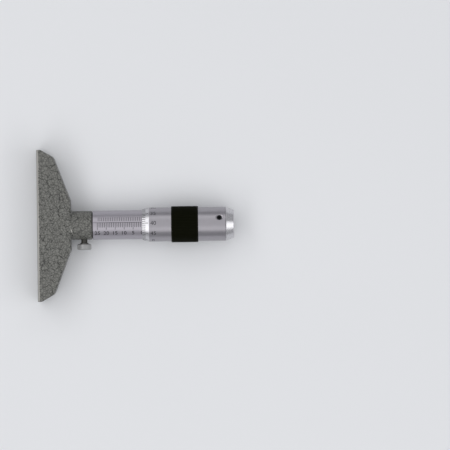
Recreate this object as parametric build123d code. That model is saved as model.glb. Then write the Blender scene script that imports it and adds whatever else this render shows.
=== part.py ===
from build123d import *
import math
import os

# Depth micrometer, 0 to 25 mm on its own spindle, lying on its side as in use on a bench.
# Origin: centre of the measuring face, on the spindle axis. +X runs along the spindle to the
# thimble's end, +Y along the base, +Z up. All lengths are in millimetres.
# Angles round the axis are measured from +Z towards +Y.

# Fits
RUN_GAP = 0.03           # radial play of whatever turns or slides
SEAT_GAP = 0.02          # radial play of what is pressed or screwed home
FACE_GAP = 0.05          # between end faces that meet

# Measuring screw
TRAVEL = 25.0            # scale on the sleeve
REST_RETRACT = 0.105     # how far the spindle stands back behind the face as drawn
STROKE = 25.1            # what the screw can move from there

# Base casting with its neck
BASE_LENGTH = 85.0
BASE_HEIGHT = 18.7       # measuring face to shoulder
SHOULDER_WIDTH = 27.6
END_RISE = 2.1           # straight part of the short ends
CORNER_RISE = 9.4        # where the corner's slope turns into the long one
CORNER_STEP = 4.2        # how far the corner has drawn in by then
TOE_ROUND = 2.0
CORNER_ROUND = 3.5
SHOULDER_ROUND = 2.2
EDGE_ROUND = 1.0
FACE_CHAMFER = 0.25
NECK_WALL = 2.05         # round the shank of the inner sleeve
NECK_LENGTH = 11.85
NECK_ROUND = 1.2
SIDE_STEP = 0.45         # how far each side of the base stands out past the neck
NECK_CHAMFER = 0.35

# Guide bush and the key that stops the spindle from turning
BUSH_WALL = 2.22
BUSH_RECESS = 0.3
BUSH_REACH = 1.3         # past the shoulder, into the neck
BUSH_CHAMFER = 0.4
KEY_D = 2.0
KEY_INSET = 3.0          # from the bush's inner end
KEY_DEPTH = 1.05         # keyway below the spindle's surface
KEY_SIDE_GAP = 0.03
KEY_END_GAP = 0.4
KEY_TIP_GAP = 0.1

# Measuring spindle and the socket for extension rods in its nose
SPINDLE_D = 6.5
TIP_CHAMFER = 0.25
ROD_HOLE_D = 2.5
ROD_HOLE_DEPTH = 8.0
ROD_HOLE_CHAMFER = 0.3

# Swivel between spindle and lead screw
SPIGOT_D = 4.0
SPIGOT_LENGTH = 6.6
GROOVE_DEPTH = 0.55
PIN_D = 1.0
PIN_INSET = 2.6          # from the lead screw's shoulder
BALL_D = 3.0
BALL_POCKET_DEPTH = 1.5
SWIVEL_GAP = 0.4

# Lock screw and its pad
LOCK_RISE = 7.35         # from the shoulder to the lock's axis
LOCK_ANGLE = -90.0
LOCK_D = 3.5
LOCK_THROW = 0.25        # what half a turn of the screw moves the pad
PAD_INSET = 0.1          # outer end of the pad below the shank's surface
LOCK_HEAD_D = 8.0
LOCK_HEAD_THICK = 3.3
LOCK_HEAD_STAND = 2.4    # underside of the head to the neck
LOCK_HEAD_CHAMFER = 0.35
LOCK_COLLAR_D = 4.6
LOCK_COLLAR_THICK = 0.6
LOCK_TEETH = 36
LOCK_TOOTH_DEPTH = 0.28
NOSE_MARGIN = 1.5        # lead screw's nose to the pad with the screw right down

# Inner sleeve with the nut, and its adjusting nut
SHANK_D = 12.0
STEM_STEP = 1.3          # from the shank up to the stem under the scale
STEM_CLEARANCE = 0.2     # radial, ahead of the nut
NUT_BORE_LENGTH = 13.0
NUT_ZONE = 9.5           # threaded tail behind the sleeve
SLIT_COUNT = 3
SLIT_WIDTH = 0.8
SLIT_LENGTH = 9.0
ADJUSTER_THICK = 6.5
ADJUSTER_INSET = 0.8     # from the tail's end
ADJUSTER_FLAT_DEPTH = 0.6

# Graduated sleeve
SLEEVE_WALL = 0.78
SLEEVE_GAP = 0.4         # dark line between neck and sleeve
SCALE_MARGIN = 2.6       # sleeve's end to the last mark of the scale
SLEEVE_OVERLAP = 3.85    # what the thimble covers at rest
SLEEVE_CHAMFER = 0.2

# Lead screw
SCREW_D = 8.0
TAIL_STEP = 0.75
TAIL_INSET = 0.5

# Thimble
THIMBLE_GAP = 0.2        # radial, over the sleeve
THIMBLE_WALL = 1.2
BEVEL_LIP = 0.2          # wall left at the bevel's edge
BEVEL_LENGTH = 3.85
END_MARGIN = 1.4         # flange to the inner sleeve with the screw right down
WEB_THICK = 6.0          # solid rear end of the thimble
THIMBLE_CHAMFER = 0.2

# Hub inside the thimble's rear end
HUB_WALL = 1.73
HUB_FLANGE_STEP = 1.5
HUB_FLANGE_THICK = 1.0

# Set screw
SET_ANGLE = 22.4
SET_INSET = 3.7          # from the thimble's rear face
SET_D = 2.9
SET_SINK = 0.5           # outer end below the thimble's surface
SET_HEX = 1.5
SET_HEX_DEPTH = 1.5
SET_CHAMFER = 0.2
SET_MOUTH = 0.7          # width of the shallow countersink round the tapped hole
SET_MOUTH_DEPTH = 0.3

# Grip band
GRIP_START = 16.25       # from the thimble's edge
GRIP_LENGTH = 15.1
GRIP_STAND = 0.6         # ribs above the thimble
GRIP_SEAT_DEPTH = 0.3
GRIP_RIM = 0.9
GRIP_RIM_CHAMFER = 0.3
GRIP_RIBS = 72
GRIP_RIB_DEPTH = 0.3

# End cap
CAP_STEP = 0.05          # below the thimble
CAP_DRAW = 1.75          # what the cone takes off the radius
CAP_LENGTH = 4.35
CAP_BAND = 0.1           # straight edge ahead of the cone
CAP_CHAMFER = 0.35
CAP_GAP = 0.15           # thin dark line between thimble and cap
STEM_SCREW_D = 4.0
STEM_SCREW_LENGTH = 5.5

# Diameters that follow from the walls, from the shank outwards
NECK_D = SHANK_D + 2 * NECK_WALL
BASE_THICK = NECK_D + 2 * SIDE_STEP
STEM_D = SHANK_D + 2 * STEM_STEP
SLEEVE_D = STEM_D + 2 * (SEAT_GAP + SLEEVE_WALL)
THIMBLE_BORE = SLEEVE_D + 2 * THIMBLE_GAP
THIMBLE_D = THIMBLE_BORE + 2 * THIMBLE_WALL
BEVEL_EDGE_D = THIMBLE_BORE + 2 * BEVEL_LIP
GRIP_D = THIMBLE_D + 2 * GRIP_STAND
CAP_D = THIMBLE_D - 2 * CAP_STEP
CAP_END_D = CAP_D - 2 * CAP_DRAW

# Diameters that follow from the spindle and the lead screw
BUSH_D = SPINDLE_D + 2 * (RUN_GAP + BUSH_WALL)
STEM_CLEAR_D = SCREW_D + 2 * STEM_CLEARANCE
TAIL_D = SCREW_D - 2 * TAIL_STEP
HUB_D = TAIL_D + 2 * (SEAT_GAP + HUB_WALL)
HUB_FLANGE_D = HUB_D + 2 * HUB_FLANGE_STEP

# Places along the axis
BUSH_END = BASE_HEIGHT + BUSH_REACH
KEY_X = BUSH_END - KEY_INSET
LOCK_X = BASE_HEIGHT + LOCK_RISE
NECK_END = BASE_HEIGHT + NECK_LENGTH
SLEEVE_START = NECK_END + SLEEVE_GAP
EDGE_X = SLEEVE_START + SCALE_MARGIN + TRAVEL + REST_RETRACT
SLEEVE_END = EDGE_X + SLEEVE_OVERLAP
STEM_END = SLEEVE_END + NUT_ZONE
NOSE_X = LOCK_X + LOCK_D / 2 + NOSE_MARGIN + STROKE
SPIGOT_X = NOSE_X - SPIGOT_LENGTH
PIN_X = NOSE_X - PIN_INSET
HUB_X = STEM_END + END_MARGIN + STROKE
WEB_X = HUB_X + HUB_FLANGE_THICK + FACE_GAP
REAR_X = WEB_X + WEB_THICK
TAIL_END = REAR_X - TAIL_INSET
SET_X = REAR_X - SET_INSET
GRIP_X = EDGE_X + GRIP_START
GRIP_END = GRIP_X + GRIP_LENGTH

# Distances from the axis
PIN_Y = SPIGOT_D / 2
PAD_TIP = SPINDLE_D / 2 + RUN_GAP + LOCK_THROW
PAD_END = SHANK_D / 2 - PAD_INSET
LOCK_HEAD_Y = NECK_D / 2 + LOCK_HEAD_STAND
LOCK_END_Y = LOCK_HEAD_Y + LOCK_HEAD_THICK
SET_TIP = HUB_D / 2 + FACE_GAP
SET_END = THIMBLE_D / 2 - SET_SINK
GRIP_SEAT_R = THIMBLE_D / 2 - GRIP_SEAT_DEPTH


def turned(*points):
    """Solid turned about the X axis from (x, radius) points."""
    return revolve(make_face(Polyline(*points, close=True)), Axis.X)


def rod(start, end, diameter):
    """Round bar along the X axis."""
    return turned((start, 0), (end, 0), (end, diameter / 2), (start, diameter / 2))


def tube(start, end, bore, diameter):
    """Plain tube along the X axis."""
    return turned((start, bore / 2), (end, bore / 2), (end, diameter / 2), (start, diameter / 2))


def countersink(start, end, start_diameter, end_diameter):
    """Cone along the X axis that breaks the edge of a hole."""
    return turned((start, 0), (end, 0), (end, end_diameter / 2), (start, start_diameter / 2))


def outward(x, angle):
    """Place on the spindle axis whose own X axis points straight out of it."""
    turn = math.radians(angle)
    direction = (0, math.sin(turn), math.cos(turn))
    return Plane((x, 0, 0), x_dir=direction, z_dir=(1, 0, 0)).location


def toothed(start, end, count, root, tip):
    """Bar along the X axis with straight flat-topped teeth round it."""
    pitch = 2 * math.pi / count
    points = []
    for tooth in range(count):
        for share, radius in ((0.0, root), (0.2, tip), (0.5, tip), (0.7, root)):
            angle = (tooth + share) * pitch
            points.append((radius * math.cos(angle), radius * math.sin(angle)))
    profile = make_face(Polyline(*points, close=True))
    return extrude(Plane.YZ.offset(start) * profile, end - start)


def base_outline():
    """Plan of the base, symmetric about the spindle."""
    half = BASE_LENGTH / 2
    corner = half - CORNER_STEP
    shoulder = SHOULDER_WIDTH / 2
    upper = [(BASE_HEIGHT, shoulder), (CORNER_RISE, corner), (END_RISE, half), (0, half)]
    lower = [(x, -y) for x, y in reversed(upper)]
    plan = make_face(Polyline(*lower, *upper, close=True))
    rounds = ((END_RISE, TOE_ROUND), (CORNER_RISE, CORNER_ROUND), (BASE_HEIGHT, SHOULDER_ROUND))
    for rise, radius in rounds:
        corners = [point for point in plan.vertices() if abs(point.X - rise) < 1e-6]
        plan = fillet(corners, radius)
    return plan


def base():
    """Cast base and neck in one piece, with its ground measuring face at x = 0."""
    body = extrude(base_outline(), BASE_THICK / 2, both=True)
    flats = body.faces().filter_by(Axis.Z)
    rims = [edge for edge in flats.edges() if edge.center().X > FACE_CHAMFER]
    body = fillet(rims, EDGE_ROUND)
    face_edges = body.faces().filter_by(Plane.YZ).sort_by(Axis.X)[0].edges()
    body = chamfer(face_edges, FACE_CHAMFER)
    neck = rod(BUSH_END - BUSH_REACH * 2, NECK_END, NECK_D)
    neck = chamfer(neck.edges().sort_by(Axis.X)[-1], NECK_CHAMFER)
    body = body + neck
    root = [edge for edge in body.edges().filter_by(GeomType.CIRCLE)
            if abs(edge.center().X - BASE_HEIGHT) < 1e-6 and abs(edge.radius - NECK_D / 2) < 1e-6]
    body = fillet(root, NECK_ROUND)
    body -= rod(-1, BUSH_END + 1, BUSH_D + 2 * SEAT_GAP)
    body -= rod(BUSH_END, NECK_END + 1, SHANK_D + 2 * SEAT_GAP)
    body -= lock_hole()
    return body


def lock_hole():
    """Radial hole for pad and lock screw, from the spindle out through the neck."""
    return outward(LOCK_X, LOCK_ANGLE) * rod(0, NECK_D, LOCK_D + 2 * RUN_GAP)


def guide_bush():
    """Hardened bush that the spindle slides in, set just behind the measuring face."""
    bore = SPINDLE_D + 2 * RUN_GAP
    bush = tube(BUSH_RECESS, BUSH_END, bore, BUSH_D)
    bush -= countersink(BUSH_RECESS, BUSH_RECESS + BUSH_CHAMFER, bore + 2 * BUSH_CHAMFER, bore)
    return bush - outward(KEY_X, 180) * rod(0, BUSH_D, KEY_D + 2 * SEAT_GAP)


def guide_key():
    """Round key pressed through the bush's wall, standing in the spindle's keyway."""
    tip = SPINDLE_D / 2 - KEY_DEPTH + KEY_TIP_GAP
    return outward(KEY_X, 180) * rod(tip, BUSH_D / 2 - KEY_TIP_GAP, KEY_D)


def keyway():
    """Cutter for the keyway along the underside of the spindle."""
    width = KEY_D + 2 * KEY_SIDE_GAP
    start = KEY_X - KEY_D / 2 - KEY_END_GAP
    end = KEY_X + KEY_D / 2 + STROKE + KEY_END_GAP
    plan = Pos((start + end) / 2, 0) * SlotOverall(end - start, width)
    return extrude(Plane.XY.offset(-SPINDLE_D) * plan, SPINDLE_D / 2 + KEY_DEPTH)


def swivel_pin_y():
    """Distance of the pins from the axis on either side."""
    return (-PIN_Y, PIN_Y)


def swivel_pin_hole(y, diameter, half_length):
    """Upright bar across the spigot's groove."""
    return Pos(PIN_X, y, 0) * Cylinder(diameter / 2, 2 * half_length)


def measuring_spindle():
    """Spindle with keyway, rod socket in its nose and swivel socket in its rear end."""
    radius = SPINDLE_D / 2
    start = REST_RETRACT
    end = NOSE_X - SWIVEL_GAP
    spindle = turned((start, 0), (end, 0), (end, radius), (start + TIP_CHAMFER, radius),
                     (start, radius - TIP_CHAMFER))
    spindle -= rod(start - 1, start + ROD_HOLE_DEPTH, ROD_HOLE_D)
    mouth = ROD_HOLE_D + 2 * ROD_HOLE_CHAMFER
    spindle -= countersink(start, start + ROD_HOLE_CHAMFER, mouth, ROD_HOLE_D)
    spindle -= rod(SPIGOT_X - BALL_D + BALL_POCKET_DEPTH, end + 1, SPIGOT_D + 2 * RUN_GAP)
    pocket = SPIGOT_X - BALL_D - 2 * FACE_GAP
    spindle -= rod(pocket, pocket + BALL_D, BALL_D + 2 * SEAT_GAP)
    spindle -= keyway()
    for y in swivel_pin_y():
        spindle -= swivel_pin_hole(y, PIN_D + 2 * SEAT_GAP, SPINDLE_D)
    return spindle


def thrust_ball():
    """Ball that takes the push between lead screw and spindle."""
    return Pos(SPIGOT_X - FACE_GAP - BALL_D / 2, 0, 0) * Sphere(BALL_D / 2)


def swivel_pin(y):
    """Pin that draws the spindle back with the lead screw."""
    reach = PIN_Y + PIN_D / 2
    half_length = math.sqrt((SPINDLE_D / 2) ** 2 - reach ** 2) - SEAT_GAP
    return swivel_pin_hole(y, PIN_D, half_length)


def lock_pad():
    """Soft pad that the lock screw presses on the spindle."""
    return outward(LOCK_X, LOCK_ANGLE) * rod(PAD_TIP, PAD_END, LOCK_D)


def lock_screw():
    """Knurled lock screw with a short collar under its head."""
    shank = rod(PAD_END + FACE_GAP, LOCK_HEAD_Y + LOCK_HEAD_CHAMFER, LOCK_D)
    collar = rod(LOCK_HEAD_Y - LOCK_COLLAR_THICK, LOCK_HEAD_Y + LOCK_HEAD_CHAMFER, LOCK_COLLAR_D)
    tip = LOCK_HEAD_D / 2
    root = tip - LOCK_TOOTH_DEPTH
    first = LOCK_HEAD_Y + LOCK_HEAD_CHAMFER
    last = LOCK_END_Y - LOCK_HEAD_CHAMFER
    edge = root - LOCK_HEAD_CHAMFER
    head = toothed(first, last, LOCK_TEETH, root, tip)
    head += turned((LOCK_HEAD_Y, 0), (LOCK_END_Y, 0), (LOCK_END_Y, edge), (last, root),
                   (first, root), (LOCK_HEAD_Y, edge))
    return outward(LOCK_X, LOCK_ANGLE) * (head + collar + shank)


def inner_sleeve():
    """Fixed sleeve: shank in the neck, stem under the scale, slit nut at the rear."""
    start = BUSH_END + FACE_GAP
    shank = SHANK_D / 2
    stem = STEM_D / 2
    body = turned(
        (start, 0), (STEM_END, 0), (STEM_END, shank), (SLEEVE_END, shank),
        (SLEEVE_END, stem), (NECK_END + FACE_GAP, stem), (NECK_END + FACE_GAP, shank),
        (start, shank))
    body -= rod(start - 1, STEM_END - NUT_BORE_LENGTH, STEM_CLEAR_D)
    body -= rod(start, STEM_END + 1, SCREW_D + 2 * RUN_GAP)
    for number in range(SLIT_COUNT):
        slit = Pos(STEM_END, 0, SHANK_D / 2) * Box(2 * SLIT_LENGTH, SLIT_WIDTH, SHANK_D)
        body -= Rot(360 * number / SLIT_COUNT, 0, 0) * slit
    return body - lock_hole()


def adjusting_nut():
    """Nut that closes the slit thread on the lead screw, with two spanner flats."""
    end = STEM_END - ADJUSTER_INSET
    nut = tube(end - ADJUSTER_THICK, end, SHANK_D + 2 * SEAT_GAP, STEM_D)
    flats = Box(2 * ADJUSTER_THICK, 2 * STEM_D, STEM_D - 2 * ADJUSTER_FLAT_DEPTH)
    return nut & Pos(end, 0, 0) * flats


def sleeve():
    """Graduated sleeve that turns on the stem to set zero."""
    outside = SLEEVE_D / 2
    bore = STEM_D / 2 + SEAT_GAP
    return turned(
        (SLEEVE_START, bore), (SLEEVE_END, bore), (SLEEVE_END, outside - SLEEVE_CHAMFER),
        (SLEEVE_END - SLEEVE_CHAMFER, outside), (SLEEVE_START + SLEEVE_CHAMFER, outside),
        (SLEEVE_START, outside - SLEEVE_CHAMFER))


def lead_screw():
    """Lead screw with its swivel spigot in front and its tail in the hub."""
    spigot = SPIGOT_D / 2
    groove = spigot - GROOVE_DEPTH
    side = PIN_D / 2 + FACE_GAP
    tail = TAIL_D / 2
    screw = turned(
        (SPIGOT_X, 0), (TAIL_END, 0), (TAIL_END, tail), (HUB_X - FACE_GAP, tail),
        (HUB_X - FACE_GAP, SCREW_D / 2), (NOSE_X, SCREW_D / 2), (NOSE_X, spigot),
        (PIN_X + side, spigot), (PIN_X + side, groove), (PIN_X - side, groove),
        (PIN_X - side, spigot), (SPIGOT_X, spigot))
    return screw - rod(REAR_X - STEM_SCREW_LENGTH - TAIL_INSET, REAR_X, STEM_SCREW_D + 2 * SEAT_GAP)


def hub():
    """Flanged hub on the lead screw's tail, which the thimble is clamped on."""
    body = rod(HUB_X, TAIL_END, HUB_D) + rod(HUB_X, HUB_X + HUB_FLANGE_THICK, HUB_FLANGE_D)
    return body - rod(HUB_X - 1, REAR_X, TAIL_D + 2 * SEAT_GAP)


def thimble():
    """Thimble with bevelled edge, seat for the grip band and a solid rear end."""
    bore = THIMBLE_BORE / 2
    hole = HUB_D / 2 + SEAT_GAP
    outside = THIMBLE_D / 2
    body = turned(
        (EDGE_X, bore), (WEB_X, bore), (WEB_X, hole), (REAR_X, hole),
        (REAR_X, outside - THIMBLE_CHAMFER), (REAR_X - THIMBLE_CHAMFER, outside),
        (GRIP_END, outside), (GRIP_END, GRIP_SEAT_R), (GRIP_X, GRIP_SEAT_R), (GRIP_X, outside),
        (EDGE_X + BEVEL_LENGTH, outside), (EDGE_X, BEVEL_EDGE_D / 2))
    hole_d = SET_D + 2 * SEAT_GAP
    body -= outward(SET_X, SET_ANGLE) * rod(0, THIMBLE_D, hole_d)
    mouth = countersink(outside - SET_MOUTH_DEPTH, outside + SET_MOUTH_DEPTH,
                        hole_d, hole_d + 4 * SET_MOUTH)
    return body - outward(SET_X, SET_ANGLE) * mouth


def grip_band():
    """Ribbed grip band between two plain rims."""
    start = GRIP_X + FACE_GAP
    end = GRIP_END - FACE_GAP
    outside = GRIP_D / 2
    bore = 2 * (GRIP_SEAT_R + SEAT_GAP)
    ribs = toothed(start + GRIP_RIM, end - GRIP_RIM, GRIP_RIBS, outside - GRIP_RIB_DEPTH, outside)
    rims = [
        turned((face, 0), (face, outside - GRIP_RIM_CHAMFER), (face + turn * GRIP_RIM_CHAMFER, outside),
               (face + turn * GRIP_RIM, outside), (face + turn * GRIP_RIM, 0))
        for face, turn in ((start, 1), (end, -1))]
    return rims[0] + ribs + rims[1] - rod(start - 1, end + 1, bore)


def set_screw():
    """Hexagon socket set screw that clamps the thimble on its hub."""
    radius = SET_D / 2
    cut = radius - SET_CHAMFER
    screw = turned(
        (SET_TIP, 0), (SET_END, 0), (SET_END, cut), (SET_END - SET_CHAMFER, radius),
        (SET_TIP + SET_CHAMFER, radius), (SET_TIP, cut))
    hexagon = RegularPolygon(SET_HEX / 2, 6, major_radius=False)
    screw -= extrude(Plane.YZ.offset(SET_END - SET_HEX_DEPTH) * hexagon, 2 * SET_HEX_DEPTH)
    return outward(SET_X, SET_ANGLE) * screw


def end_cap():
    """Conical end cap with the stem that screws into the lead screw's tail."""
    start = REAR_X + CAP_GAP
    end = start + CAP_LENGTH
    band = start + CAP_BAND
    cap = turned(
        (start, 0), (end, 0), (end, CAP_END_D / 2), (band, CAP_D / 2), (start, CAP_D / 2))
    cap = chamfer(cap.edges().sort_by(Axis.X)[-1], CAP_CHAMFER)
    return cap + rod(REAR_X - STEM_SCREW_LENGTH, start + CAP_BAND, STEM_SCREW_D)


PARTS = {
    "base": base,
    "guide_bush": guide_bush,
    "guide_key": guide_key,
    "measuring_spindle": measuring_spindle,
    "thrust_ball": thrust_ball,
    "lock_pad": lock_pad,
    "lock_screw": lock_screw,
    "inner_sleeve": inner_sleeve,
    "adjusting_nut": adjusting_nut,
    "sleeve": sleeve,
    "lead_screw": lead_screw,
    "hub": hub,
    "thimble": thimble,
    "grip_band": grip_band,
    "set_screw": set_screw,
    "end_cap": end_cap,
}


def main():
    os.makedirs("parts", exist_ok=True)
    for name, make in PARTS.items():
        export_step(make(), f"parts/{name}.step")
    for number, y in enumerate(swivel_pin_y(), start=1):
        export_step(swivel_pin(y), f"parts/swivel_pin_{number}.step")


main()
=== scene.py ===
"""Finish of the depth micrometer: wrinkle paint, satin chrome, ribbed grip, scales and stage."""
import math

import bmesh
import bpy
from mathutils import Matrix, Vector


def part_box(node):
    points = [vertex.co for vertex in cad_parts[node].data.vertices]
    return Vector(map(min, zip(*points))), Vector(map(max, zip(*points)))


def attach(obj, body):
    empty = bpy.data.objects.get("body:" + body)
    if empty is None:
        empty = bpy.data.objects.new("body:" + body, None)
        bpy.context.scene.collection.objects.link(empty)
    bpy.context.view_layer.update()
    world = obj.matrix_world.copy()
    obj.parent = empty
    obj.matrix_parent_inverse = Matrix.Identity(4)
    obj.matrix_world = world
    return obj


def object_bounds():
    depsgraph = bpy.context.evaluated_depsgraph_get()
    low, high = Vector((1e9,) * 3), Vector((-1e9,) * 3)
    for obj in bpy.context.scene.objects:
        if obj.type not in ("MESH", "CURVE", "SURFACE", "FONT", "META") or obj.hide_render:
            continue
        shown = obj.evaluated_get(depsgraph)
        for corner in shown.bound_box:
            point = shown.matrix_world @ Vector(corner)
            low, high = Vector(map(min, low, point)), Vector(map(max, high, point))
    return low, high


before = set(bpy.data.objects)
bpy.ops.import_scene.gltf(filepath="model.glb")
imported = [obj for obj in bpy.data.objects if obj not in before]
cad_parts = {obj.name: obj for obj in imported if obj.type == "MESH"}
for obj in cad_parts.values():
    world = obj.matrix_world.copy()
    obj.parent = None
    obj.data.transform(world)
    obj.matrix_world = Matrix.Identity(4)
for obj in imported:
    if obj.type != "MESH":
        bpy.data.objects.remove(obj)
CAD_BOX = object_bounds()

bl_info = {
    "name": "Depth micrometer finish",
    "version": (1, 0, 0),
    "blender": (4, 5, 0),
    "location": "View3D > Sidebar > Micrometer",
    "description": "Dresses the packed depth micrometer with its scales, finishes and stage",
    "category": "Object",
}

MM = 0.001
FRAME_BODY = "frame"
THIMBLE_BODY = "thimble_group"

# Nodes of each finish
PAINTED = ("base",)
GROUND = ("guide_bush", "guide_key", "measuring_spindle", "thrust_ball", "swivel_pin_1",
          "swivel_pin_2", "lead_screw")
TURNED = ("inner_sleeve", "adjusting_nut", "hub")

# Frame sizes that the scales and finishes are laid out from, in metres
SLEEVE_LOW, SLEEVE_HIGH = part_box("sleeve")
THIMBLE_LOW, THIMBLE_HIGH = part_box("thimble")
LOCK_LOW, LOCK_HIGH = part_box("lock_screw")
SLEEVE_RADIUS = SLEEVE_HIGH[2]
THIMBLE_RADIUS = THIMBLE_HIGH[2]
REST_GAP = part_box("measuring_spindle")[0][0]
# The lock screw's head ends here along Y, and its shank begins
LOCK_HEAD_END = LOCK_LOW[1] + 3.45 * MM

# Scale of a metric micrometer: 25 mm on the sleeve, half a millimetre a turn, 50 lines round
SCALE_LENGTH = 25
SCALE_STEP = 0.5 * MM
LINES_ROUND = 50
# Every fifth millimetre and every fifth line of the thimble is longer and has a numeral
NUMBERED = 5
# Place on the thimble's scale that stands at the datum line at rest
LINE_NUMBER_AT_REST = 39.4
# At zero the thimble's edge covers this much of the zero line's width
ZERO_COVER = 0.09 * MM
ZERO_X = THIMBLE_LOW[0] - REST_GAP + ZERO_COVER
# The datum line starts this far behind the sleeve's front end and goes on under the thimble
DATUM_START = 0.2 * MM
DATUM_UNDER_THIMBLE = 2 * MM
# Bare edge ahead of the bevel's lines
BEVEL_EDGE = 0.05 * MM
# How much the sleeve's numerals are thickened, as a share of the font's size
SLEEVE_BOLDNESS = 0.012
# Longest step round a surface, of a line and of a numeral
LINE_STEP = 0.3 * MM
NUMERAL_STEP = 0.25 * MM

# Creases of the wrinkle paint: how far they wander, in cells, and how wide they are, in mm
LARGE_CREASE = (0.6, 0.2)
SMALL_CREASE = (0.5, 0.3)
# How much of a large crease is filled, where it shows most and where it fades, and the range of
# the pattern that fades it
CREASE_FILL = (0.1, 0.7)
FADE_RANGE = (0.35, 0.65)
# Depths of large creases, small creases and grain against each other, and the sums of them that
# are taken for the bottom of a crease, painted in full crease shade, and for a crest, painted at
# its lightest as a highlight
LARGE_DEPTH, SMALL_DEPTH, GRAIN_DEPTH = 1.8, 1.3, 2.6
SHADE_TO_HIGHLIGHT_HEIGHTS = (1.9, 4.5)
PAINT_RELIEF = 0.12 * MM

# Grinding lines on the bare rim: how their pattern is stretched, the middle of its range, and
# what that is spread to
LAY_STRETCH = (1.0, 0.03, 1.0)
LAY_RANGE = (0.3, 0.7)
LAY_TONES = (0.86, 1.14)
LAY_ROUGHNESS = (0.52, 0.36)
LAY_DEPTH = 0.05
# How ragged the paint's edge is: at the bare rim in mm, and at the bare streak as a share of its
# size, added to the least share, which is always bare
RIM_RAGGED = 0.9
STREAK_RAGGED = 1.2
STREAK_LEAST = 0.4
# The bores are bare out to this far short of the inner sleeve's radius, in mm
BORE_MARGIN = 1.2

# Short streak of bare metal through the paint at the neck's root, in mm: its middle, half its
# length, width and depth, and its turn from X
STREAK_CENTRE = (19.25, -3.3, 8.0)
STREAK_REACH = (1.75, 0.26, 4.0)
STREAK_TURN = math.radians(-72)

# Roughness of each finish, as is typical of it
PAINT_ROUGHNESS = 0.25
SATIN_CHROME_ROUGHNESS = 0.38
DULL_CHROME_ROUGHNESS = 0.32
HIGHLIGHT_CHROME_ROUGHNESS = 0.28
GROUND_STEEL_ROUGHNESS = 0.24
OILED_STEEL_ROUGHNESS = 0.4
BRASS_ROUGHNESS = 0.35
LOCK_SCREW_ROUGHNESS = 0.52
BLACK_OXIDE_ROUGHNESS = 0.42
GRIP_ROUGHNESS = (0.5, 0.68)
INK_ROUGHNESS = 0.7
FLOOR_ROUGHNESS = 0.85

# Turned metal: depth of its rings and of a ground surface's, the range of its pattern, and the
# tones and the change of roughness that it is spread to
RING_DEPTH = 0.004 * MM
GROUND_DEPTH = 0.002 * MM
RING_RANGE = (0.3, 1.2)
RING_TONES = (0.93, 1.04)
RING_ROUGHNESS = 0.05

# Depth of the grip band's mould grain
MOULD_DEPTH = 0.02 * MM
SOFT_BUMP = 0.3

# Scale of each unevenness, in spots a millimetre
FADE_SCALE = 0.35
PATCH_SCALE = 0.12
LAY_SCALE = 2.5
MOTTLE_SCALE = 0.5
OXIDE_SCALE = 2.5
INK_SCALE = 3.0
FLOOR_SCALE = 0.01
# How much the mottle of turned metal counts against its rings
MOTTLE_SHARE = 0.5

# Darkest and lightest tone of each uneven colour
PAINT_TONES = (0.97, 1.03)
OXIDE_TONES = (0.7, 1.3)
GRIP_TONES = (0.6, 1.4)
INK_TONES = (0.5, 1.8)
FLOOR_TONES = (0.985, 1.0)

# Middle of the part, which the lamps beside it face, and the floor's reach from it, in metres
MIDDLE = (0.055, 0, 0)
FLOOR_REACH = 20.0

# Lamps, in metres: name, place, the point that it faces, its size, and the setting of its level
LAMPS = (
    ("overhead_softbox", (0.23, 0.15, 1.0), (0.23, 0.15, 0), (1.15, 2.7), "overhead"),
    ("left_strip", (-0.55, -0.05, 0.85), MIDDLE, (2.2, 0.42), "left"),
    ("right_strip", (0.78, -0.32, 0.72), MIDDLE, (1.2, 0.30), "right"),
    ("near_softbox", (0.06, -0.55, 0.93), MIDDLE, (1.6, 0.50), "near"),
    ("far_softbox", (0.06, 0.88, 0.62), MIDDLE, (1.6, 0.45), "far"),
)


# Settings

def linear(hex_colour):
    """Turn an sRGB hex colour such as '#68696A' into linear RGBA."""
    channels = [int(hex_colour[start:start + 2], 16) / 255 for start in (1, 3, 5)]
    light = [c / 12.92 if c <= 0.04045 else ((c + 0.055) / 1.055) ** 2.4 for c in channels]
    return (*light, 1.0)


def colour_property(name, description, hex_colour):
    """Colour swatch whose default is an sRGB hex colour."""
    return bpy.props.FloatVectorProperty(
        name=name, description=description, subtype="COLOR", size=4, min=0, max=1,
        default=linear(hex_colour))


def length_property(name, description, millimetres):
    """Length in metres whose default is given in millimetres."""
    return bpy.props.FloatProperty(
        name=name, description=description, subtype="DISTANCE", unit="LENGTH",
        default=millimetres * MM, precision=5)


def angle_property(name, description, degrees):
    """Angle whose default is given in degrees."""
    return bpy.props.FloatProperty(
        name=name, description=description, subtype="ANGLE", default=math.radians(degrees))


def level_property(name, description, level):
    """Brightness of a lamp's face, where 1 is a white floor's."""
    return bpy.props.FloatProperty(name=name, description=description, default=level, min=0)


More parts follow.
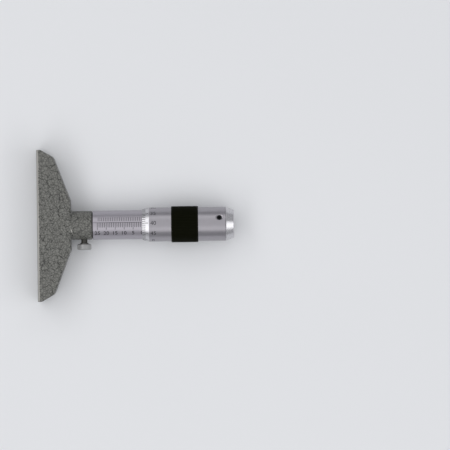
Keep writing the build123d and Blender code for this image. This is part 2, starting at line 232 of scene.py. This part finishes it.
class ScaleSettings(bpy.types.PropertyGroup):
    """Lines and numerals of the sleeve and the thimble."""
    ink: colour_property("Ink", "Fill of the engraved lines and numerals", "#17171B")
    lift: length_property("Lift", "Height of the fill above the metal", 0.012)
    line_width: length_property("Line", "Width of a graduation on the sleeve", 0.27)
    datum_width: length_property("Datum", "Width of the line along the sleeve", 0.2)
    datum_angle: angle_property("Datum angle", "Datum line from the top, away from the lock", 9.7)
    whole_length: length_property("Whole", "Length of a millimetre line", 2.7)
    fifth_length: length_property("Fifth", "Length of every fifth millimetre line", 4.0)
    half_gap: length_property("Half gap", "Datum to the half-millimetre lines", 0.85)
    half_length: length_property("Half", "Length of a half-millimetre line", 2.25)
    sleeve_numeral: length_property("Sleeve numerals", "Height of a numeral", 2.35)
    sleeve_numeral_drop: length_property("Numeral drop", "Datum to the numerals' middle", 6.1)
    thimble_width: length_property("Thimble line", "Width of a graduation on the bevel", 0.34)
    thimble_line: length_property("Bevel line", "Length of a line on the bevel", 1.9)
    thimble_fifth: length_property("Thimble fifth", "Length of every fifth line", 3.4)
    thimble_numeral: length_property("Thimble numerals", "Height of a numeral", 2.3)
    thimble_numeral_x: length_property("Numeral place", "Thimble's edge to the numerals", 6.2)
    bevel_length: length_property("Bevel", "Length of the thimble's bevel", 3.85)
    bevel_drop: length_property("Bevel drop", "Fall of the bevel at its edge", 1.0)


class PaintSettings(bpy.types.PropertyGroup):
    """Wrinkle paint of the base and its bare ground strip."""
    # The crease colour is painted shade down in the creases; the grey is that of the crests,
    # lighter than the paint's mean as a painted highlight
    body: colour_property("Paint", "Grey of the wrinkle paint on its crests", "#757570")
    crease: colour_property("Crease", "Colour down in the creases", "#2B2B29")
    bare: colour_property("Bare metal", "Ground iron along the measuring face", "#A3A19D")
    cell: length_property("Cell", "Size of a large wrinkle", 3.4)
    small_cell: length_property("Small cell", "Size of the small wrinkles between them", 1.5)
    grain: length_property("Grain", "Size of the fine grain on the wrinkles", 0.75)
    strip: length_property("Bare strip", "Width of the bare strip at the face", 1.15)


class MetalSettings(bpy.types.PropertyGroup):
    """Plated, ground and blackened metal."""
    chrome: colour_property("Satin chrome", "Plated sleeve", "#B0ACB3")
    dull_chrome: colour_property("Dull chrome", "Plated thimble", "#A7A4A9")
    # Painted highlight: a lighter copy of the chrome, on the bevel and the end cap where they
    # catch the lamps
    highlight_chrome: colour_property("Bright chrome", "Polished bevel and end cap", "#CDCCCF")
    steel: colour_property("Ground steel", "Spindle, bush and inner pieces", "#B0B0B2")
    dull_steel: colour_property("Oiled steel", "Inner sleeve, its nut and the hub", "#3E3D3C")
    nickel: colour_property("Nickel", "Lock screw's head", "#B3B3B3")
    # Partly the shank's own darker steel, and partly painted shade: darker still, as if in shadow
    # beside the neck
    dark_steel: colour_property("Dark steel", "Lock screw's shank", "#4B4A47")
    black_oxide: colour_property("Black oxide", "Set screw", "#2A2A2C")
    brass: colour_property("Brass", "Lock pad", "#B89A5A")
    turning: length_property("Turning marks", "Spacing of the turned lines", 0.35)


class GripSettings(bpy.types.PropertyGroup):
    """Black grip band."""
    black: colour_property("Black", "Moulded grip band", "#0C0D03")
    grain: length_property("Grain", "Size of the moulded grain", 0.3)


class StageSettings(bpy.types.PropertyGroup):
    """Camera, floor and lamps."""
    height: length_property("Camera height", "Camera above the sleeve", 2500.0)
    width: length_property("Picture width", "Width of the picture at the sleeve's top", 251.4)
    centre_x: length_property("Picture centre", "Picture's centre along the spindle", 105.0)
    centre_y: length_property("Picture middle", "Picture's centre across the spindle", -0.75)
    roll: angle_property("Roll", "Turn of the camera about its line of sight", -0.7)
    floor: colour_property("Floor", "Pale floor", "#E3E4E6")
    sky: colour_property("Backdrop", "Pale backdrop, and light from all round", "#A5A6A9")
    overhead: level_property("Overhead", "Level of the large softbox overhead", 0.45)
    left: level_property("Left strip", "Level of the strip beyond the measuring face", 1.75)
    right: level_property("Right strip", "Level of the strip beyond the end cap", 1.9)
    near: level_property("Near box", "Level of the softbox on the lock's side", 0.22)
    far: level_property("Far box", "Level of the softbox on the far side", 0.4)


SETTINGS = {
    "micrometer_scale": ScaleSettings,
    "micrometer_paint": PaintSettings,
    "micrometer_metal": MetalSettings,
    "micrometer_grip": GripSettings,
    "micrometer_stage": StageSettings,
}


# Shader helpers

def add(tree, kind, inputs=None, **settings):
    """Add a shader node with its settings, and fill or link its inputs."""
    made = tree.nodes.new(kind)
    for name, value in settings.items():
        setattr(made, name, value)
    for name, value in (inputs or {}).items():
        socket = made.inputs[name]
        if isinstance(value, bpy.types.NodeSocket):
            tree.links.new(value, socket)
        else:
            socket.default_value = value
    return made


def limits(end, pair):
    """Inputs of a map range's From or To end."""
    return {f"{end} Min": pair[0], f"{end} Max": pair[1]}


def new_material(name):
    """Empty node material with its output."""
    material = bpy.data.materials.new(name)
    material.use_nodes = True
    tree = material.node_tree
    tree.nodes.clear()
    return material, tree, add(tree, "ShaderNodeOutputMaterial")


def finish_material(tree, output, inputs):
    """Join a principled shader with these inputs to the output."""
    shader = add(tree, "ShaderNodeBsdfPrincipled", inputs)
    tree.links.new(shader.outputs["BSDF"], output.inputs["Surface"])


def place_in_mm(tree):
    """Place on the object at rest, in millimetres."""
    coordinates = add(tree, "ShaderNodeTexCoord")
    scaled = add(tree, "ShaderNodeVectorMath", {0: coordinates.outputs["Object"], 3: 1 / MM},
                 operation="SCALE")
    return scaled.outputs[0]


def uneven(tree, colour, pattern, tones, pattern_range=(0, 1)):
    """Colour that a pattern makes darker and lighter, from the first tone to the second."""
    if not isinstance(colour, bpy.types.NodeSocket):
        colour = tuple(colour)[:3]
    tone = add(tree, "ShaderNodeMapRange",
               {"Value": pattern, **limits("From", pattern_range), **limits("To", tones)})
    shade = add(tree, "ShaderNodeVectorMath", {0: colour, 3: tone.outputs["Result"]},
                operation="SCALE")
    return shade.outputs[0]


def dress(nodes, material):
    """Give each of these CAD nodes one material."""
    for name in nodes:
        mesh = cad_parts[name].data
        mesh.materials.clear()
        mesh.materials.append(material)


# Materials

def creases(tree, place, size, drift, width):
    """Wandering creases of cells of this size in mm: 0 down in a crease and 1 beside it."""
    wander = add(tree, "ShaderNodeTexNoise", {"Vector": place, "Scale": 1 / size, "Detail": 3.0})
    moved = add(tree, "ShaderNodeVectorMath",
                {0: wander.outputs["Color"], 1: (drift * size,) * 3, 2: place},
                operation="MULTIPLY_ADD")
    cells = add(tree, "ShaderNodeTexVoronoi", {"Vector": moved.outputs[0], "Scale": 1 / size},
                feature="DISTANCE_TO_EDGE")
    beside = add(tree, "ShaderNodeMapRange",
                 {"Value": cells.outputs["Distance"], "From Max": width / size},
                 interpolation_type="SMOOTHSTEP")
    return beside.outputs["Result"]


def wrinkles(tree, place, paint, grain):
    """Height of the wrinkled paint: large creases that fade in and out along their length, small
    ones between them, and grain on top."""
    large = creases(tree, place, paint.cell / MM, *LARGE_CREASE)
    small = creases(tree, place, paint.small_cell / MM, *SMALL_CREASE)
    faded = add(tree, "ShaderNodeTexNoise",
                {"Vector": place, "Scale": FADE_SCALE, "Detail": 1.0})
    fade = add(tree, "ShaderNodeMapRange",
               {"Value": faded.outputs["Fac"], **limits("From", FADE_RANGE),
                **limits("To", CREASE_FILL)}, interpolation_type="SMOOTHSTEP")
    folds = add(tree, "ShaderNodeMix",
                {"Factor": fade.outputs["Result"], "A": large, "B": 1.0}, data_type="FLOAT")
    deep_folds = add(tree, "ShaderNodeMath", {0: folds.outputs[0], 1: LARGE_DEPTH},
                     operation="MULTIPLY")
    rough_folds = add(tree, "ShaderNodeMath",
                      {0: small, 1: SMALL_DEPTH, 2: deep_folds.outputs[0]},
                      operation="MULTIPLY_ADD")
    height = add(tree, "ShaderNodeMath", {0: grain, 1: GRAIN_DEPTH, 2: rough_folds.outputs[0]},
                 operation="MULTIPLY_ADD")
    return height.outputs[0]


def bare_rim(tree, place, strip, ragged):
    """1 on the ground rim of the measuring face and in the bores, 0 on the paint."""
    parts = add(tree, "ShaderNodeSeparateXYZ", {0: place})
    x, y, z = (parts.outputs[axis] for axis in "XYZ")
    edge = add(tree, "ShaderNodeMath", {0: ragged, 1: RIM_RAGGED, 2: strip - RIM_RAGGED / 2},
               operation="MULTIPLY_ADD")
    rim = add(tree, "ShaderNodeMath", {0: x, 1: edge.outputs[0]}, operation="LESS_THAN")
    square = add(tree, "ShaderNodeMath", {0: y, 1: y}, operation="MULTIPLY")
    reach = add(tree, "ShaderNodeMath", {0: z, 1: z, 2: square.outputs[0]},
                operation="MULTIPLY_ADD")
    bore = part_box("inner_sleeve")[1][2] / MM - BORE_MARGIN
    inside = add(tree, "ShaderNodeMath", {0: reach.outputs[0], 1: bore * bore},
                 operation="LESS_THAN")
    either = add(tree, "ShaderNodeMath", {0: rim.outputs[0], 1: inside.outputs[0]},
                 operation="MAXIMUM")
    return either.outputs[0]


def bare_streak(tree, place, ragged):
    """1 in a short streak of bare metal at the root of the neck, 0 on the paint."""
    inside = add(tree, "ShaderNodeMapping",
                 {"Vector": place, "Location": STREAK_CENTRE, "Rotation": (0, 0, STREAK_TURN),
                  "Scale": STREAK_REACH}, vector_type="TEXTURE")
    distance = add(tree, "ShaderNodeVectorMath", {0: inside.outputs[0]}, operation="LENGTH")
    edge = add(tree, "ShaderNodeMath", {0: ragged, 1: STREAK_RAGGED, 2: STREAK_LEAST},
               operation="MULTIPLY_ADD")
    streak = add(tree, "ShaderNodeMath", {0: distance.outputs["Value"], 1: edge.outputs[0]},
               operation="LESS_THAN")
    return streak.outputs[0]


def grinding_lay(tree, place):
    """Straight lines that surface grinding leaves along the measuring face. Real ones lie 0.1 mm
    apart; these lie 0.4 mm apart, as coarse as they need to be to show."""
    stretched = add(tree, "ShaderNodeVectorMath", {0: place, 1: LAY_STRETCH},
                    operation="MULTIPLY")
    lines = add(tree, "ShaderNodeTexNoise",
                {"Vector": stretched.outputs[0], "Scale": LAY_SCALE, "Detail": 3.0,
                 "Roughness": 0.7})
    return lines.outputs["Fac"]


def wrinkle_paint(paint):
    """Wrinkle-finish enamel on cast iron: it shrinks as it is baked into leathery cells with dark
    creases between them. The dark of the creases is painted shade, and the crests and grain specks
    are lighter as a painted highlight. The rim of the measuring face is ground bare after
    painting."""
    material, tree, output = new_material("wrinkle_paint_on_cast_iron")
    place = place_in_mm(tree)
    grain = add(tree, "ShaderNodeTexNoise",
                {"Vector": place, "Scale": MM / paint.grain, "Detail": 1.0}).outputs["Fac"]
    height = wrinkles(tree, place, paint, grain)
    # Painted shade and highlight: the height sets the colour from the crease colour, for shade in
    # the creases, to the crest grey, for light on crests and grain specks
    depth = add(tree, "ShaderNodeMapRange", {"Value": height, **limits("From", SHADE_TO_HIGHLIGHT_HEIGHTS)})
    crease_shaded_paint = add(tree, "ShaderNodeMix",
                  {"Factor": depth.outputs["Result"], "A": paint.crease, "B": paint.body},
                  data_type="RGBA")
    patch = add(tree, "ShaderNodeTexNoise",
                {"Vector": place, "Scale": PATCH_SCALE, "Detail": 2.0})
    toned = uneven(tree, crease_shaded_paint.outputs["Result"], patch.outputs["Fac"], PAINT_TONES)
    rim = bare_rim(tree, place, paint.strip / MM, grain)
    streak = bare_streak(tree, place, grain)
    bare = add(tree, "ShaderNodeMath", {0: rim, 1: streak}, operation="MAXIMUM").outputs[0]
    lay = grinding_lay(tree, place)
    ground = uneven(tree, paint.bare, lay, LAY_TONES, LAY_RANGE)
    colour = add(tree, "ShaderNodeMix", {"Factor": bare, "A": toned, "B": ground},
                 data_type="RGBA")
    ground_rough = add(tree, "ShaderNodeMapRange",
                       {"Value": lay, **limits("From", LAY_RANGE),
                        **limits("To", LAY_ROUGHNESS)})
    rough = add(tree, "ShaderNodeMix",
                {"Factor": bare, "A": PAINT_ROUGHNESS, "B": ground_rough.outputs["Result"]},
                data_type="FLOAT")
    scratch = add(tree, "ShaderNodeMath", {0: lay, 1: LAY_DEPTH}, operation="MULTIPLY")
    relief = add(tree, "ShaderNodeMix", {"Factor": bare, "A": height, "B": scratch.outputs[0]},
                 data_type="FLOAT")
    bump = add(tree, "ShaderNodeBump",
               {"Height": relief.outputs[0], "Strength": 1.0, "Distance": PAINT_RELIEF})
    finish_material(tree, output, {
        "Base Color": colour.outputs["Result"], "Metallic": bare,
        "Roughness": rough.outputs["Result"], "Normal": bump.outputs["Normal"]})
    return material


def lathe_rings(tree, place, along, axis, spacing):
    """Turning marks: rings along the barrel, which go on as circles on the end faces."""
    keep, middle = {
        "X": ((0, 1, 1), (0, 0, 0)),
        "Y": ((1, 0, 1), (-(LOCK_LOW[0] + LOCK_HIGH[0]) / 2 / MM, 0, 0)),
    }[axis]
    across = add(tree, "ShaderNodeVectorMath", {0: place, 1: keep, 2: middle},
                 operation="MULTIPLY_ADD")
    radius = add(tree, "ShaderNodeVectorMath", {0: across.outputs[0]}, operation="LENGTH")
    tool_path = add(tree, "ShaderNodeMath", {0: along, 1: radius.outputs["Value"]},
                    operation="ADD")
    rings = add(tree, "ShaderNodeTexNoise",
                {"W": tool_path.outputs[0], "Scale": MM / spacing, "Detail": 3.0,
                 "Roughness": 0.7}, noise_dimensions="1D")
    return rings.outputs["Fac"]


def turned_metal(name, colour, roughness, spacing, depth, front=None, axis="X"):
    """Metal turned in a lathe: fine rings round the piece's axis, with a slight change of tone
    and roughness from ring to ring. Real rings lie 0.1 mm apart; these lie as coarse as they need
    to be to show. The part ahead of a place on the axis can have a colour of its own."""
    material, tree, output = new_material(name)
    place = place_in_mm(tree)
    along = add(tree, "ShaderNodeSeparateXYZ", {0: place}).outputs[axis]
    if front:
        end, front_colour = front
        ahead = add(tree, "ShaderNodeMath", {0: along, 1: end / MM}, operation="LESS_THAN")
        colour = add(tree, "ShaderNodeMix",
                     {"Factor": ahead.outputs[0], "A": colour, "B": front_colour},
                     data_type="RGBA").outputs["Result"]
    rings = lathe_rings(tree, place, along, axis, spacing)
    mottle = add(tree, "ShaderNodeTexNoise",
                 {"Vector": place, "Scale": MOTTLE_SCALE, "Detail": 1.0})
    both = add(tree, "ShaderNodeMath", {0: mottle.outputs["Fac"], 1: MOTTLE_SHARE, 2: rings},
               operation="MULTIPLY_ADD").outputs[0]
    rough = add(tree, "ShaderNodeMapRange",
                {"Value": both, **limits("From", RING_RANGE),
                 **limits("To", (roughness - RING_ROUGHNESS, roughness + RING_ROUGHNESS))})
    bump = add(tree, "ShaderNodeBump", {"Height": rings, "Strength": SOFT_BUMP, "Distance": depth})
    finish_material(tree, output, {
        "Base Color": uneven(tree, colour, both, RING_TONES, RING_RANGE), "Metallic": 1.0,
        "Roughness": rough.outputs["Result"], "Normal": bump.outputs["Normal"]})
    return material


def black_oxide_steel(metal):
    """Black oxide on a hardened set screw: dark, a little oily, and uneven to the eye."""
    material, tree, output = new_material("black_oxide_steel")
    blotch = add(tree, "ShaderNodeTexNoise",
                 {"Vector": place_in_mm(tree), "Scale": OXIDE_SCALE, "Detail": 3.0})
    finish_material(tree, output, {
        "Base Color": uneven(tree, metal.black_oxide, blotch.outputs["Fac"], OXIDE_TONES),
        "Metallic": 1.0, "Roughness": BLACK_OXIDE_ROUGHNESS})
    return material


def moulded_black_grip(grip):
    """Moulded black grip band: matt, with a fine mould grain that dulls the ribs' crests."""
    material, tree, output = new_material("moulded_black_grip")
    grain = add(tree, "ShaderNodeTexNoise",
                {"Vector": place_in_mm(tree), "Scale": MM / grip.grain, "Detail": 3.0,
                 "Roughness": 0.6}).outputs["Fac"]
    rough = add(tree, "ShaderNodeMapRange", {"Value": grain, **limits("To", GRIP_ROUGHNESS)})
    bump = add(tree, "ShaderNodeBump",
               {"Height": grain, "Strength": SOFT_BUMP, "Distance": MOULD_DEPTH})
    finish_material(tree, output, {
        "Base Color": uneven(tree, grip.black, grain, GRIP_TONES),
        "Roughness": rough.outputs["Result"], "Specular IOR Level": 0.05,
        "Normal": bump.outputs["Normal"]})
    return material


def engraving_ink(scale):
    """Matt ink rubbed into engraved lines: near black, a little uneven where it filled less."""
    material, tree, output = new_material("engraving_ink")
    fill = add(tree, "ShaderNodeTexNoise",
               {"Vector": place_in_mm(tree), "Scale": INK_SCALE, "Detail": 2.0})
    finish_material(tree, output, {
        "Base Color": uneven(tree, scale.ink, fill.outputs["Fac"], INK_TONES),
        "Roughness": INK_ROUGHNESS})
    return material


def pale_floor(stage):
    """Matt paper floor, a touch uneven."""
    material, tree, output = new_material("pale_floor")
    soft = add(tree, "ShaderNodeTexNoise",
               {"Vector": place_in_mm(tree), "Scale": FLOOR_SCALE, "Detail": 2.0})
    finish_material(tree, output, {
        "Base Color": uneven(tree, stage.floor, soft.outputs["Fac"], FLOOR_TONES),
        "Roughness": FLOOR_ROUGHNESS, "Specular IOR Level": 0.1})
    return material


# Scales on turned surfaces. A place on one is (x, arc): x along the axis, arc round it from the
# top towards +Y at that surface's own radius.

def sleeve_radius(_x):
    """The sleeve is a plain cylinder."""
    return SLEEVE_RADIUS


def thimble_radius(x):
    """The thimble's bevel rises to its plain cylinder."""
    scale = bpy.context.scene.micrometer_scale
    along = min(max((x - THIMBLE_LOW[0]) / scale.bevel_length, 0), 1)
    return THIMBLE_RADIUS - scale.bevel_drop * (1 - along)


def wrapped(x, angle, arc, radius, lift):
    """Point at an angle plus a short arc round the axis, just above the surface."""
    turn = angle + arc / radius
    return (x, (radius + lift) * math.sin(turn), (radius + lift) * math.cos(turn))


def add_line(bm, radius_at, start, end, lift, angle):
    """Rectangle from (x, arc) to (x, arc) laid round the surface at an angle, in short steps."""
    steps = max(1, math.ceil(abs(end[1] - start[1]) / LINE_STEP))
    rows = []
    for step in range(steps + 1):
        arc = start[1] + (end[1] - start[1]) * step / steps
        rows.append([bm.verts.new(wrapped(x, angle, arc, radius_at(x), lift))
                     for x in (start[0], end[0])])
    for lower, upper in zip(rows, rows[1:]):
        bm.faces.new((lower[0], lower[1], upper[1], upper[0]))


def numeral_mesh(text, boldness):
    """Flat mesh of a numeral from the built-in font, with its middle and its height."""
    curve = bpy.data.curves.new("numeral", "FONT")
    curve.body = text
    curve.align_x = "CENTER"
    curve.align_y = "CENTER"
    curve.resolution_u = 4
    curve.offset = boldness
    holder = bpy.data.objects.new("numeral", curve)
    bpy.context.scene.collection.objects.link(holder)
    bpy.context.view_layer.update()
    mesh = bpy.data.meshes.new_from_object(holder)
    bpy.data.objects.remove(holder)
    bpy.data.curves.remove(curve)
    xs = [v.co.x for v in mesh.vertices]
    ys = [v.co.y for v in mesh.vertices]
    middle = Vector(((min(xs) + max(xs)) / 2, (min(ys) + max(ys)) / 2, 0))
    return mesh, middle, max(ys) - min(ys)


def add_numeral(bm, text, radius, centre_x, angle, height, lift, boldness=0.0):
    """Numeral wrapped round the surface, cut into short strips so that it follows the curve."""
    mesh, middle, tall = numeral_mesh(text, boldness)
    flat = bmesh.new()
    flat.from_mesh(mesh)
    bpy.data.meshes.remove(mesh)
    bmesh.ops.remove_doubles(flat, verts=flat.verts, dist=1e-6)
    scale = height / tall
    for vertex in flat.verts:
        vertex.co = (vertex.co - middle) * scale
    cuts = math.ceil(height / NUMERAL_STEP)
    for number in range(1, cuts):
        level = -height / 2 + height * number / cuts
        bmesh.ops.bisect_plane(flat, geom=flat.verts[:] + flat.edges[:] + flat.faces[:],
                               plane_co=(0, level, 0), plane_no=(0, 1, 0))
    made = {}
    for vertex in flat.verts:
        made[vertex] = bm.verts.new(
            wrapped(centre_x + vertex.co.x, angle, vertex.co.y, radius, lift))
    for face in flat.faces:
        corners = [made[v] for v in face.verts]
        if face.normal.z < 0:
            corners.reverse()
        bm.faces.new(corners)
    flat.free()


def outward_faces(bm):
    """Turn every face so that it looks away from the spindle axis."""
    for face in bm.faces:
        face.normal_update()
        centre = face.calc_center_median()
        if face.normal.dot(Vector((0, centre.y, centre.z))) < 0:
            face.normal_flip()


def mesh_object(name, bm, material):
    """Object in the scene, from a finished mesh."""
    mesh = bpy.data.meshes.new(name)
    bm.to_mesh(mesh)
    bm.free()
    mesh.materials.append(material)
    made = bpy.data.objects.new(name, mesh)
    bpy.context.scene.collection.objects.link(made)
    return made


def finish_scale(name, bm, body, material):
    """Turn flat ink into a named piece that rides on a body."""
    outward_faces(bm)
    piece = mesh_object(name, bm, material)
    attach(piece, body)


# Stage

def add_floor(stage):
    """Pale floor just under the lowest point of the part."""
    bm = bmesh.new()
    low = CAD_BOX[0][2]
    corners = [bm.verts.new((x * FLOOR_REACH, y * FLOOR_REACH, low))
               for x, y in ((-1, -1), (1, -1), (1, 1), (-1, 1))]
    bm.faces.new(corners)
    floor = mesh_object("floor", bm, pale_floor(stage))


def add_sky(stage):
    """Pale backdrop that also lights the part evenly from all round."""
    world = bpy.data.worlds.new("studio")
    world.use_nodes = True
    tree = world.node_tree
    tree.nodes.clear()
    output = add(tree, "ShaderNodeOutputWorld")
    background = add(tree, "ShaderNodeBackground", {"Color": stage.sky, "Strength": 1.0})
    tree.links.new(background.outputs[0], output.inputs["Surface"])
    bpy.context.scene.world = world


def add_lamp(name, place, target, size, level):
    """Rectangular lamp facing a target, as bright as its level. Its first size is level with
    the floor."""
    light = bpy.data.lights.new(name, "AREA")
    light.shape = "RECTANGLE"
    light.size, light.size_y = size
    light.energy = level * math.pi * size[0] * size[1]
    lamp = bpy.data.objects.new(name, light)
    lamp.location = place
    lamp.rotation_euler = (Vector(place) - Vector(target)).to_track_quat("Z", "Y").to_euler()
    lamp.visible_camera = False
    bpy.context.scene.collection.objects.link(lamp)


def add_camera(stage):
    """Camera straight above, framed as the picture is."""
    data = bpy.data.cameras.new("camera")
    data.sensor_width = 36.0
    data.lens = data.sensor_width * stage.height / stage.width
    data.clip_start = 0.01
    camera = bpy.data.objects.new("camera", data)
    camera.location = (stage.centre_x, stage.centre_y, SLEEVE_HIGH[2] + stage.height)
    camera.rotation_euler = (0, 0, stage.roll)
    bpy.context.scene.collection.objects.link(camera)
    bpy.context.scene.camera = camera


# Operators and panel

class PaintBase(bpy.types.Operator):
    """Wrinkle paint on the base, ground bare along the measuring face"""
    bl_idname = "micrometer.paint_base"
    bl_label = "Paint base"

    def execute(self, context):
        dress(PAINTED, wrinkle_paint(context.scene.micrometer_paint))
        return {"FINISHED"}


class PlateParts(bpy.types.Operator):
    """Satin chrome on the sleeve, dull on the thimble, a lighter copy as painted highlight on its
    bevel and the end cap
    """
    bl_idname = "micrometer.plate_parts"
    bl_label = "Plate sleeve and thimble"

    def execute(self, context):
        metal = context.scene.micrometer_metal
        bevel_end = THIMBLE_LOW[0] + context.scene.micrometer_scale.bevel_length
        dress(("sleeve",), turned_metal(
            "satin_chrome_plate", metal.chrome, SATIN_CHROME_ROUGHNESS, metal.turning,
            RING_DEPTH))
        # The thimble's bevel gets the lighter chrome, a painted highlight
        dress(("thimble",), turned_metal(
            "dull_chrome_plate", metal.dull_chrome, DULL_CHROME_ROUGHNESS, metal.turning,
            RING_DEPTH, front=(bevel_end, metal.highlight_chrome)))
        # The end cap is all in the lighter chrome, a painted highlight
        dress(("end_cap",), turned_metal(
            "highlight_chrome_plate", metal.highlight_chrome, HIGHLIGHT_CHROME_ROUGHNESS, metal.turning,
            RING_DEPTH))
        return {"FINISHED"}


class GrindSteel(bpy.types.Operator):
    """Ground steel on spindle and bush, oiled steel on the inner sleeve, brass on the pad"""
    bl_idname = "micrometer.grind_steel"
    bl_label = "Grind steel"

    def execute(self, context):
        metal = context.scene.micrometer_metal
        dress(GROUND, turned_metal(
            "ground_tool_steel", metal.steel, GROUND_STEEL_ROUGHNESS, metal.turning,
            GROUND_DEPTH))
        dress(TURNED, turned_metal(
            "oiled_turned_steel", metal.dull_steel, OILED_STEEL_ROUGHNESS, metal.turning,
            RING_DEPTH))
        dress(("lock_pad",), turned_metal(
            "turned_brass", metal.brass, BRASS_ROUGHNESS, metal.turning, RING_DEPTH))
        return {"FINISHED"}


class FinishScrews(bpy.types.Operator):
    """Nickel plate on the lock screw's head, dark steel shank with painted shade, black oxide on
    the set screw
    """
    bl_idname = "micrometer.finish_screws"
    bl_label = "Finish screws"

    def execute(self, context):
        metal = context.scene.micrometer_metal
        # The shank's colour holds painted shade as well as its darker steel
        dress(("lock_screw",), turned_metal(
            "nickel_plated_head", metal.dark_steel, LOCK_SCREW_ROUGHNESS, metal.turning,
            RING_DEPTH, front=(LOCK_HEAD_END, metal.nickel), axis="Y"))
        dress(("set_screw",), black_oxide_steel(metal))
        return {"FINISHED"}


class MouldGrip(bpy.types.Operator):
    """Moulded black on the grip band"""
    bl_idname = "micrometer.mould_grip"
    bl_label = "Mould grip band"

    def execute(self, context):
        dress(("grip_band",), moulded_black_grip(context.scene.micrometer_grip))
        return {"FINISHED"}


class EngraveSleeve(bpy.types.Operator):
    """Datum line, millimetre and half-millimetre lines and numerals on the sleeve"""
    bl_idname = "micrometer.engrave_sleeve"
    bl_label = "Engrave sleeve"

    def execute(self, context):
        scale = context.scene.micrometer_scale
        ink = engraving_ink(scale)
        half_line = scale.line_width / 2
        half_datum = scale.datum_width / 2
        lines = bmesh.new()
        add_line(lines, sleeve_radius, (SLEEVE_LOW[0] + DATUM_START, -half_datum),
                 (ZERO_X + DATUM_UNDER_THIMBLE, half_datum), scale.lift, scale.datum_angle)
        for half in range(2 * SCALE_LENGTH + 1):
            x = ZERO_X - half * SCALE_STEP
            if half % 2:
                near, far = scale.half_gap, scale.half_gap + scale.half_length
            else:
                reach = scale.whole_length if half % (2 * NUMBERED) else scale.fifth_length
                near, far = -reach, -half_datum
            add_line(lines, sleeve_radius, (x - half_line, near), (x + half_line, far),
                     scale.lift, scale.datum_angle)
        finish_scale("sleeve_lines", lines, FRAME_BODY, ink)
        numerals = bmesh.new()
        angle = scale.datum_angle - scale.sleeve_numeral_drop / SLEEVE_RADIUS
        for value in range(0, SCALE_LENGTH + 1, NUMBERED):
            add_numeral(numerals, str(value), SLEEVE_RADIUS, ZERO_X - value * MM, angle,
                        scale.sleeve_numeral, scale.lift, SLEEVE_BOLDNESS)
        finish_scale("sleeve_numerals", numerals, FRAME_BODY, ink)
        return {"FINISHED"}


class EngraveThimble(bpy.types.Operator):
    """Fifty lines on the bevel and a numeral at every fifth"""
    bl_idname = "micrometer.engrave_thimble"
    bl_label = "Engrave thimble"

    def execute(self, context):
        scale = context.scene.micrometer_scale
        ink = bpy.data.materials["engraving_ink"]
        half_line = scale.thimble_width / 2
        edge = THIMBLE_LOW[0]
        lines = bmesh.new()
        numerals = bmesh.new()
        for number in range(LINES_ROUND):
            behind = (LINE_NUMBER_AT_REST - number) * math.tau / LINES_ROUND
            angle = scale.datum_angle + behind
            numbered = number % NUMBERED == 0
            reach = scale.thimble_fifth if numbered else scale.thimble_line
            add_line(lines, thimble_radius, (edge + BEVEL_EDGE, -half_line),
                     (edge + reach, half_line), scale.lift, angle)
            if numbered:
                add_numeral(numerals, str(number), THIMBLE_RADIUS, edge + scale.thimble_numeral_x,
                            angle, scale.thimble_numeral, scale.lift)
        finish_scale("thimble_lines", lines, THIMBLE_BODY, ink)
        finish_scale("thimble_numerals", numerals, THIMBLE_BODY, ink)
        return {"FINISHED"}


class SetStage(bpy.types.Operator):
    """Pale floor, soft lamps and the camera straight above"""
    bl_idname = "micrometer.set_stage"
    bl_label = "Set stage"

    def execute(self, context):
        stage = context.scene.micrometer_stage
        add_floor(stage)
        add_sky(stage)
        for name, place, target, size, setting in LAMPS:
            add_lamp(name, place, target, size, getattr(stage, setting))
        add_camera(stage)
        context.scene.view_settings.view_transform = "Standard"
        return {"FINISHED"}


OPERATORS = (PaintBase, PlateParts, GrindSteel, FinishScrews, MouldGrip, EngraveSleeve,
             EngraveThimble, SetStage)


class MicrometerPanel(bpy.types.Panel):
    """Finishes of the depth micrometer"""
    bl_idname = "VIEW3D_PT_micrometer"
    bl_label = "Depth micrometer"
    bl_space_type = "VIEW_3D"
    bl_region_type = "UI"
    bl_category = "Micrometer"

    def draw(self, context):
        for operator in OPERATORS:
            self.layout.operator(operator.bl_idname)
        for name, settings in SETTINGS.items():
            box = self.layout.box()
            for key in settings.__annotations__:
                box.prop(getattr(context.scene, name), key)


CLASSES = (*SETTINGS.values(), *OPERATORS, MicrometerPanel)


def register():
    """Register the classes and hang the settings on the scene."""
    for item in CLASSES:
        bpy.utils.register_class(item)
    for name, settings in SETTINGS.items():
        setattr(bpy.types.Scene, name, bpy.props.PointerProperty(type=settings))


def unregister():
    """Undo register."""
    for name in SETTINGS:
        delattr(bpy.types.Scene, name)
    for item in reversed(CLASSES):
        bpy.utils.unregister_class(item)


def main():
    """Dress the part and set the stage."""
    register()
    for operator in OPERATORS:
        group, name = operator.bl_idname.split(".")
        getattr(getattr(bpy.ops, group), name)()


if __name__ == "__main__":
    main()
